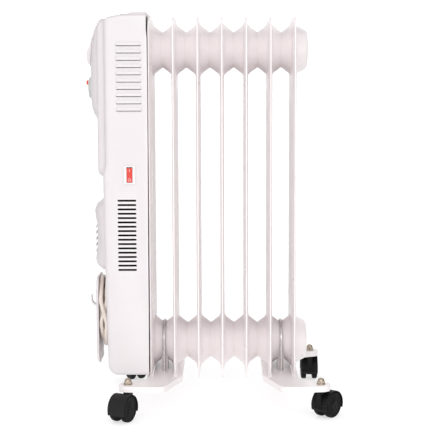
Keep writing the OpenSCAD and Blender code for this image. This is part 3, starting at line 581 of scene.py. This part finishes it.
def fin_face(way, collar):
    """One pressed face of a fin: quads in rings round each header, rows between them and a rounded rim."""
    points, faces = [], []

    def add(y, z):
        points.append((way * fin_swell(y, z, collar), y, z))
        return len(points) - 1

    radii = [27.4, 28.2, 29.2, 30.4, 32.0, 34.0, 36.0, 37.6, 39.0, 40.4, 41.8, 43.2, 44.6]
    if not collar:
        radii = [24.0, 28.0, 32.0, 36.0, 39.5, 41.5, 43.0, 44.6]
    split_rows, rims = {}, {}
    for header, side in zip(HEADERS, (-1, 1)):
        outline = [(y, header - side * BLOCK) for y in ACROSS] + block_rim(header, side)
        circles = []
        for y, z in outline:
            away = math.hypot(y, z - header)
            circles.append((y / away, (z - header) / away))
        rings = [[add(u * r, header + v * r) for u, v in circles] for r in radii]
        for t in (0.18, 0.36, 0.52, 0.68, 0.84, 1.0):
            rings.append([add(u * radii[-1] + (y - u * radii[-1]) * t,
                              header + v * radii[-1] + (z - header - v * radii[-1]) * t)
                          for (u, v), (y, z) in zip(circles, outline)])
        for inner, outer in zip(rings, rings[1:]):
            for i in range(len(inner)):
                j = (i + 1) % len(inner)
                quad = (inner[i], inner[j], outer[j], outer[i])
                faces.append(quad if side > 0 else quad[::-1])
        split_rows[side] = rings[-1][:len(ACROSS)]
        rims[side] = rings[-1][len(ACROSS):]
    rows = [split_rows[-1]]
    count = 30
    low, high = HEADERS[0] + BLOCK, HEADERS[1] - BLOCK
    for k in range(1, count):
        rows.append([add(y, low + (high - low) * k / count) for y in ACROSS])
    rows.append(split_rows[1])
    for under, above in zip(rows, rows[1:]):
        for i in range(len(ACROSS) - 1):
            faces.append((under[i], above[i], above[i + 1], under[i + 1]))
    loop = rims[1] + [row[0] for row in reversed(rows)] + rims[-1][::-1] + [row[-1] for row in rows]
    last = loop
    for out, height in ((0.55, 1.0), (0.95, 0.6), (RIM, 0.0)):
        ring = []
        for i in loop:
            _, y, z = points[i]
            toward = Vector(outside_corner(y, z)).normalized()
            points.append((way * height, y + toward.x * out, z + toward.y * out))
            ring.append(len(points) - 1)
        for i in range(len(loop)):
            j = (i + 1) % len(loop)
            faces.append((last[i], last[j], ring[j], ring[i]))
        last = ring
    return points, faces if way > 0 else [f[::-1] for f in faces]


def fin_shape(i):
    middle = Matrix.Translation((STACK_X + (i - 4) * PITCH, 0, 0))
    return placed(join(fin_face(-1, i > 1), fin_face(1, i < 7)), middle)


for i in range(1, 8):
    fin = piece(f"pressed_fin_{i}", fin_shape(i), "fin_enamel")
    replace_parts(fin, f"fin_{i}", "header_necks")


def header_ends():
    """Cones with rounded ends on the last fin, and shallow dishes on the first one."""
    foot, waist, bend = 38.2, 31.8, 7.0
    outer = PITCH * 3 + 3.2
    length = 22.0 - 3.2
    cone = [(0.0, 0.0), (foot - 0.6, 0.0), (foot, 0.5)]
    cone += arc(waist - bend, length - bend, bend, 28, 90, 8) + [(14.0, length + 0.0), (0.0, length - 0.3)]
    dish = [(0.0, 0.0), (37.0, 0.0), (36.4, 1.4), (35.0, 3.2), (32.5, 4.2), (28.0, 4.4), (0.0, 4.4)]
    shapes = []
    for z in HEADERS:
        shapes.append(placed(turned(cone, 72), Matrix.Translation((STACK_X + outer, 0, z))
                             @ Matrix.Rotation(math.radians(90), 4, "Y")))
        shapes.append(placed(turned(dish, 64), Matrix.Translation((STACK_X - outer, 0, z))
                             @ Matrix.Rotation(math.radians(-90), 4, "Y")))
    return join(*shapes)


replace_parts(piece("header_end_caps", header_ends(), "fin_enamel", flat_angle=60), "header_caps")


# ---- control box ----

BOX_LOW, BOX_HIGH, BOX_HALF = 57.0, 608.5, 80.0
WALL = 2.5
LOUVRE_X, LOUVRE_LONG, LOUVRE_HIGH, LOUVRE_PROUD = BOX_BACK - 26.5, 41.0, 7.6, 1.9
LOUVRES = [464 + 10.85 * k for k in range(10)]
VENTS = [221.5 + 6.64 * k for k in range(17)]
SWITCH_X, SWITCH_Z = BOX_BACK - 26.4, 367.0


def box_section(front, edge, back):
    """Side view of the box, drawn in by front at its front and by edge at its top and bottom."""
    foot = (BOX_FRONT + 17.0, BOX_LOW + 15.5)
    brow = (BOX_FRONT + 9.0, BOX_HIGH - 12.8)
    section = [(back, BOX_LOW + edge)]
    section += [(foot[0] + (15.5 - front) * math.cos(math.radians(a)),
                 foot[1] + (15.5 - edge) * math.sin(math.radians(a))) for a in range(270, 179, -9)]
    leans = ((1.6, 214.0), (3.0, 290.0), (3.2, 368.0), (0.0, 382.0))
    section += [(BOX_FRONT + front - lean, z) for lean, z in leans]
    section += [(brow[0] + (9.0 - front) * math.cos(math.radians(a)),
                 brow[1] + (9.0 - edge) * math.sin(math.radians(a))) for a in range(180, 104, -15)]
    return section + [(BOX_FRONT + 23.0, BOX_HIGH - 0.8 - edge), (back, BOX_HIGH - edge)]


def box_solid(inset, back, steps=7):
    """The box as a solid, its side edges rounded by an ellipse."""
    turn_front, turn_edge, turn_side = 9.0 - inset, 5.0 - inset, 6.5 - inset
    half = BOX_HALF - inset
    rings = []
    for side in (-1, 1):
        for k in range(steps + 1):
            a = math.radians(90.0 * (steps - k if side < 0 else k) / steps)
            y = side * (half - turn_side * (1 - math.sin(a)))
            section = box_section(inset + turn_front * (1 - math.cos(a)),
                                  inset + turn_edge * (1 - math.cos(a)), back)
            rings.append([(x, y, z) for x, z in section])
    return loft(rings)


def louvre_hood(z, side):
    """A pressed hood over one louvre: it swells from the wall and ends in a thin lower lip."""
    across, up = 26, 9
    front, back = [], []
    for j in range(up + 1):
        v = LOUVRE_HIGH * j / up
        for i in range(across + 1):
            u = (LOUVRE_LONG + 1.0) * (0.5 - 0.5 * math.cos(math.pi * i / across)) - 0.5
            corner = 3.6
            over_u = max(corner - min(u, LOUVRE_LONG - u), 0.0)
            over_v = max(corner - (LOUVRE_HIGH - v), 0.0)
            inside = corner - math.hypot(over_u, over_v)
            swell = smoothstep(min(inside / 3.3, (LOUVRE_HIGH - v) / 5.2), 0.0, 1.0)
            proud = (LOUVRE_PROUD + 0.5) * swell - 0.5
            x = LOUVRE_X - LOUVRE_LONG / 2 + u
            front.append((x, side * (BOX_HALF + proud), z + v))
            back.append((x, side * (BOX_HALF + proud - 0.85), z + v))
    wide = across + 1
    grid = [(j * wide + i, j * wide + i + 1, (j + 1) * wide + i + 1, (j + 1) * wide + i)
            for j in range(up) for i in range(across)]
    under = len(front)
    rim = [i for i in range(wide)] + [j * wide + across for j in range(1, up + 1)]
    rim += [up * wide + i for i in range(across - 1, -1, -1)] + [j * wide for j in range(up - 1, 0, -1)]
    walls = [(a, b, under + b, under + a) for a, b in zip(rim, rim[1:] + rim[:1])]
    faces = grid + [tuple(under + i for i in reversed(f)) for f in grid] + [w[::-1] for w in walls]
    if side > 0:
        faces = [f[::-1] for f in faces]
    return front + back, faces


def housing():
    slots = []
    for z in VENTS:
        middle = 14.3 - 1.6
        outline = arc(BOX_BACK - 31 + middle, z, 1.6, -90, 90, 8) + arc(BOX_BACK - 31 - middle, z, 1.6, 90,
                                                                        270, 8)
        slots.append(prism(outline, "y", -90.0, 90.0))
    openings = []
    for z in LOUVRES:
        for side in (-1, 1):
            low, high = sorted((side * 74.0, side * 84.0))
            foot = z - 1.0 if side < 0 else z + 0.3
            openings.append(box((LOUVRE_X - 18.8, low, foot), (LOUVRE_X + 18.8, high, z + 4.6)))
    openings.append(box((SWITCH_X - 6.5, -84, SWITCH_Z - 12), (SWITCH_X + 6.5, -74, SWITCH_Z + 12)))
    openings.append(box((BOX_FRONT - 3, -42, 235), (BOX_FRONT + 8, 42, 297)))
    openings.append(box((BOX_BACK - 40, -56.2, BOX_HIGH - 8), (BOX_BACK - 5, 56.2, BOX_HIGH + 5)))
    shell = carve(box_solid(0.0, BOX_BACK), box_solid(WALL, BOX_BACK + 6), join(*slots), join(*openings))
    hoods = [louvre_hood(z, side) for z in LOUVRES for side in (-1, 1)]
    lips = [lip(side) for side in (-1, 1)]
    return join(shell, *hoods, *lips)


def lip(side):
    """The back edge of a side wall, which reaches a little way over the rim of the first fin."""
    rings = []
    for z, reach in ((61.0, -0.4), (66.0, 0.3), (140.0, 0.6), (240.0, 0.7), (330.0, 0.95), (400.0, 1.3),
                     (520.0, 1.35),
                     (574.0, 1.1), (588.0, -0.4)):
        low, high = BOX_BACK - 1.2, BOX_BACK + reach
        outer, inner = side * (BOX_HALF - 0.02), side * (BOX_HALF - WALL + 0.1)
        rings.append([(low, inner, z), (high, inner, z), (high + 0.15, (inner + outer) / 2, z),
                      (high, outer, z),
                      (low, outer, z)])
    shape = loft(rings)
    return shape if side > 0 else (shape[0], [f[::-1] for f in shape[1]])


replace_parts(even(piece("moulded_housing", housing(), "white_plastic", flat_angle=38)), "housing_shell")


def panel_shape():
    """The control panel: a slab with rounded edges, deeper rounding at the top."""
    half, low, high = 68.0, 363.0, 603.0
    rings = [[(BOX_FRONT + 9.0, y, z) for y, z in rounded_loop(-half, half, low, high, 14.0)]]
    for k in range(8):
        a = math.radians(90.0 * k / 7)
        side, top, foot = 6.5 * (1 - math.cos(a)), 11.0 * (1 - math.cos(a)), 8.0 * (1 - math.cos(a))
        x = PANEL_FRONT + 10.0 * (1 - math.sin(a))
        rings.append([(x, y, z) for y, z in rounded_loop(-half + side, half - side, low + foot, high - top,
                                                         14.0 - side)])
    return loft(rings)


POD = [(446, 0.0), (447, 1.0), (449, 3.2), (456, 7.4), (467, 10.4), (478, 11.7), (500, 12.0), (530, 11.8),
       (555, 10.8),
       (574, 9.2), (584, 7.5), (593, 5.2), (597, 4.0), (600, 2.6)]
OUTLET = [(211, 0.0), (212, 3.0), (217, 14.0), (224, 18.6), (233, 20.0), (242, 18.8), (249, 16.8),
          (267, 16.4),
          (287, 17.2), (298, 19.4), (309, 20.4), (320, 19.0), (329, 14.0)]


def swollen(x0, half, low, high, corner, profile, edge, root):
    """A cover whose height over x0 follows a profile in z and rounds off towards its outline."""
    insets = [0.0, 0.25, 0.8, 1.7, 3.0, 4.6, 6.6, 9.0, 12.0, 16.0, 21.0, 27.0, 34.0, min(half - 4, 42.0)]
    rings = []
    for inset in [None] + insets:
        i = inset or 0.0
        r = max(corner - i, 3.0)
        rise = math.sqrt(1 - (1 - min(i / edge, 1.0)) ** 2)
        loop = rounded_loop(-half + i, half - i, low + i, high - i, r, 8)
        loop = dense(loop, 6.0)
        if inset is None:
            rings.append([(root, y, z) for y, z in loop])
            count = len(loop)
        else:
            rings.append([(x0 - between(profile, z) * rise, y, z) for y, z in resampled(loop, count)])
    return loft(rings)


def dense(loop, gap):
    """The same loop with extra points, so that none are much further apart than gap."""
    made = []
    for (y0, z0), (y1, z1) in zip(loop, loop[1:] + loop[:1]):
        n = max(1, int(math.hypot(y1 - y0, z1 - z0) / gap))
        made += [(y0 + (y1 - y0) * k / n, z0 + (z1 - z0) * k / n) for k in range(n)]
    return made


def resampled(loop, count):
    """The same loop with count points, spread evenly along it from its first point."""
    lengths = [0.0]
    ring = loop + loop[:1]
    for a, b in zip(ring, ring[1:]):
        lengths.append(lengths[-1] + math.hypot(b[0] - a[0], b[1] - a[1]))
    made, j = [], 0
    for k in range(count):
        at = lengths[-1] * k / count
        while lengths[j + 1] < at:
            j += 1
        t = (at - lengths[j]) / max(lengths[j + 1] - lengths[j], 1e-9)
        made.append((ring[j][0] + (ring[j + 1][0] - ring[j][0]) * t,
                     ring[j][1] + (ring[j + 1][1] - ring[j][1]) * t))
    return made


def capsule(r, long):
    return arc(long / 2 - r, 0, r, -90, 90, 6) + arc(r - long / 2, 0, r, 90, 270, 6)


pod = swollen(PANEL_FRONT, 44.0, 446.0, 600.0, 26.0, POD, 11.0, BOX_FRONT - 1.0)
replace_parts(even(piece("control_panel_shell", join(panel_shape(), pod), "white_plastic", flat_angle=50)),
            "control_panel")


def outlet_cover():
    cover = swollen(BOX_FRONT, 50.0, 211.0, 329.0, 22.0, OUTLET, 17.0, BOX_FRONT + 0.6)
    inner = [(z, max(h - 2.6, 0.0)) for z, h in OUTLET]
    hollow = swollen(BOX_FRONT, 47.0, 214.0, 326.0, 19.0, inner, 16.0, BOX_FRONT + 3.0)
    window = box((BOX_FRONT - 40, -36, 241), (BOX_FRONT + 5, 36, 289))
    return carve(cover, hollow, window)


def outlet_bars():
    bars = []
    for k in range(5):
        z = 244.5 + k * 9.5
        rings = []
        for j in range(17):
            y = -37.5 + 75.0 * j / 16
            x = BOX_FRONT - 17.2 - 2.2 * (1 - (y / 37.5) ** 2)
            rings.append([(x + u, y, z + v) for u, v in capsule(1.2, 5.0)])
        bars.append(loft(rings))
    return join(*bars)


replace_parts(even(piece("outlet_cover", outlet_cover(), "white_plastic", flat_angle=50)), "fan_grille")
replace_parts(piece("outlet_bars", outlet_bars(), "white_plastic", flat_angle=60), "fan_grille")


def torus(ring, tube, steps=32, round_steps=8):
    """A torus round Y, centred on the origin."""
    rings = []
    for k in range(steps + 1):
        a = 2 * math.pi * k / steps
        rings.append([((ring + tube * math.cos(b)) * math.cos(a), tube * math.sin(b),
                       (ring + tube * math.cos(b))
                       * math.sin(a)) for b in (2 * math.pi * j / round_steps for j in range(round_steps))])
    return loft(rings[:-1] + [rings[0]], caps=(False, False))


ROCKER_LEAN = (Matrix.Translation((SWITCH_X, -BOX_HALF + 2.0, SWITCH_Z))
               @ Matrix.Rotation(math.radians(8), 4, "X"))


def rocker_marks():
    """A ring on the pressed half of the rocker and a bar on its other half."""
    ring = placed(torus(1.9, 0.3), ROCKER_LEAN @ Matrix.Translation((0, -4.0, -7.2))
                  @ Matrix.Rotation(math.radians(-10), 4, "X"))
    bar = placed(prism(capsule(0.3, 4.0), "y", -0.25, 0.3), ROCKER_LEAN @ Matrix.Translation((0, -4.0, 7.2))
                 @ Matrix.Rotation(math.radians(10), 4, "X") @ Matrix.Rotation(math.radians(90), 4, "Y"))
    return join(ring, bar)


def paddle_shape():
    """The rocker's paddle: a shallow roof with a rounded front, its pivot across the middle."""
    half = 11.5
    roof = [(-4.6, half - 0.9), (-4.2, 8.0), (-3.4, 4.0), (-3.05, 1.6), (-3.0, 0.0), (-3.05, -1.6),
            (-3.4, -4.0),
            (-4.2, -8.0), (-4.6, 0.9 - half), (-3.8, 0.5 - half), (0.5, 0.8 - half), (4.0, -4.0), (4.0, 4.0),
            (0.5, half - 0.8), (-3.8, half - 0.5)]
    rings = []
    for x, draw in ((-4.3, 0.45), (-4.1, 0.15), (-3.8, 0.0), (3.8, 0.0), (4.1, 0.15), (4.3, 0.45)):
        rings.append([(x, y + (draw if y < 0 else -draw), z * (1 - draw / half)) for y, z in roof])
    pivot = placed(turned([(0.0, -5.8), (1.0, -5.8), (1.2, -5.6), (1.2, 5.6), (1.0, 5.8), (0.0, 5.8)], 24),
                   Matrix.Rotation(math.radians(90), 4, "Y"))
    return placed(join(loft(rings), pivot), ROCKER_LEAN)


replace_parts(piece("rocker_paddle_shell", paddle_shape(), "red_switch", "side_rocker", 30), "rocker_paddle")
marks = piece("rocker_marks", rocker_marks(), "white_plastic", "side_rocker", 40)
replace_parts(marks, "rocker_paddle")


def dial_ticks():
    """Raised strokes round the two dials, longer at the ends of each range."""
    ticks = []
    dials = ((THERMOSTAT_Z, -45, 225, 10, 25.6, 3.4), (SELECTOR_Z, 0, 180, 5, 19.0, 2.8))
    for centre, first, last, count, start, length in dials:
        for k in range(count):
            a = math.radians(first + (last - first) * k / (count - 1))
            longer = length + (1.2 if k in (0, count - 1) else 0.0)
            y, z = (start + longer / 2) * math.cos(a), centre + (start + longer / 2) * math.sin(a)
            if not 448 < z < 594:
                continue
            deep = PANEL_FRONT - between(POD, z)
            quarter = Matrix.Rotation(math.radians(90), 4, "Z")
            stroke = placed(prism(capsule(0.45, longer), "y", -0.5, 0.28), quarter)
            turned_stroke = placed(stroke, Matrix.Translation((deep, y, z)) @ Matrix.Rotation(a, 4, "X"))
            ticks.append(turned_stroke)
    return join(*ticks)


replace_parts(piece("dial_ticks", dial_ticks(), "grey_knob_plastic", flat_angle=40), "control_panel")


def facing(x, z):
    """Frame of a knob: local +Z points out of the panel at the user, local +X down."""
    return (Matrix.Translation((x, 0.0, z)) @ Matrix.Rotation(math.radians(90), 4, "Y")
            @ Matrix.Rotation(math.radians(180), 4, "X"))


dome = [(0.0, 1.2), (16.5, 1.2), (17.4, 1.6)]
dome += [(13.5 + 4.0 * math.cos(math.radians(a)),
          2.2 + 4.4 * math.sin(math.radians(a))) for a in range(0, 91, 10)]
dome += [(10.0, 7.15), (6.0, 7.55), (2.5, 7.68), (0.0, 7.7)]
knob = piece("selector_knob_dome", placed(turned(dome, 64), facing(POD_FRONT, SELECTOR_Z)),
             "grey_knob_plastic",
             "selector_control", 50)
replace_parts(knob, "selector_knob")
pointer = turned([(0.0, 4.0), (3.6, 4.0), (3.6, 9.6), (3.4, 10.3), (2.9, 10.6), (2.0, 10.7), (0.0, 10.7)], 32)
pointer = placed(pointer, facing(POD_FRONT, SELECTOR_Z) @ Matrix.Translation((-8.0, 0.0, 0.0)))
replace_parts(piece("selector_pointer", pointer, "red_switch", "selector_control", 50), "selector_knob")


# ---- casters ----

FRONT_STEM, REAR_STEM = STACK_X - 143.0, STACK_X + 148.2
STEMS = {"front_right": (FRONT_STEM, -1, 244), "front_left": (FRONT_STEM, 1, 116),
         "rear_right": (REAR_STEM, -1, 49),
         "rear_left": (REAR_STEM, 1, 90)}


def wheel_shape():
    """A wheel with a rounded tread, a shallow dish in its face and a raised hub."""
    thick = 14.0 - 4.75 - 0.35
    return turned([(2.6, 0.0), (17.6, 0.0), (18.9, 0.3), (19.7, 1.0), (20.0, 2.0), (20.0, thick - 3.4),
                   (19.75, thick - 2.1), (19.1, thick - 1.1), (18.1, thick - 0.45), (17.0, thick - 0.25),
                   (16.4, thick - 0.5), (15.9, thick - 0.9), (9.0, thick - 0.7), (7.2, thick - 0.45),
                   (6.5, thick - 0.05), (5.6, thick), (0.0, thick)], 64)


def cap_nut():
    """A washer, a hexagon with rounded corners and a dome over the end of the stem."""
    washer = turned([(0.0, 0.0), (6.6, 0.0), (6.9, 0.35), (6.9, 0.9), (6.5, 1.25), (0.0, 1.25)], 40)
    rings = []
    for h, r in ((1.2, 5.7), (1.5, 6.1), (4.4, 6.1), (5.0, 5.6)):
        ring = []
        for k in range(36):
            flat = 5.35 / math.cos(math.radians((k * 10) % 60 - 30))
            reach = min(flat, r)
            ring.append((reach * math.cos(math.radians(10 * k)), reach * math.sin(math.radians(10 * k)), h))
        rings.append(ring)
    dome = turned([(0.0, 4.8),
                   (5.0, 4.8)] + [(5.0 * math.cos(math.radians(a)), 5.6 + 4.2 * math.sin(math.radians(a)))
                                              for a in range(0, 91, 10)], 36)
    return join(washer, loft(rings), dome)


nuts = []
for k, (x, side, turn) in enumerate(STEMS.values()):
    twist = Matrix.Rotation(math.radians(17 * k + 9), 4, "Z")
    nuts.append(placed(cap_nut(), Matrix.Translation((x, side * 120.0, 53.0)) @ twist))
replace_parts(piece("cap_nuts", join(*nuts), "nut_brass", flat_angle=32), "caster_nuts")

for place, (x, side, turn) in STEMS.items():
    stand = Matrix.Translation((x, side * 120.0, 0)) @ Matrix.Rotation(math.radians(turn), 4, "Z")
    for which, hand in (("a", -1), ("b", 1)):
        upright = Matrix.Rotation(math.radians(-90 * hand), 4, "X")
        spot = stand @ Matrix.Translation((16.0, hand * 5.1, 20.0)) @ upright
        wheel = piece(f"tread_{place}_{which}", placed(wheel_shape(), spot), "wheel_black",
                      f"roller_{place}_{which}", 40)
        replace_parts(wheel, f"wheel_{place}_{which}")


# ---- carried-over CAD nodes ----

SLOT_OF = {part["node"]: part["material_slot"] for part in frame["record"]["subparts"]}
for node, obj in NODES.items():
    obj.data.materials.clear()
    obj.data.materials.append(LOOKS[SLOT_OF[node]])

for node, width in (("foot_bracket_front", 1.5), ("foot_bracket_rear", 1.5), ("carry_handle", 1.1),
                    ("cord_plate", 0.9),
                    ("rocker_frame", 0.6), ("wing_nuts", 0.4),
                    ("thermostat_knob", 0.7), ("plug_body", 0.5)):
    soften(NODES[node], width)
for place in STEMS:
    soften(NODES[f"caster_hood_{place}"], 0.7)
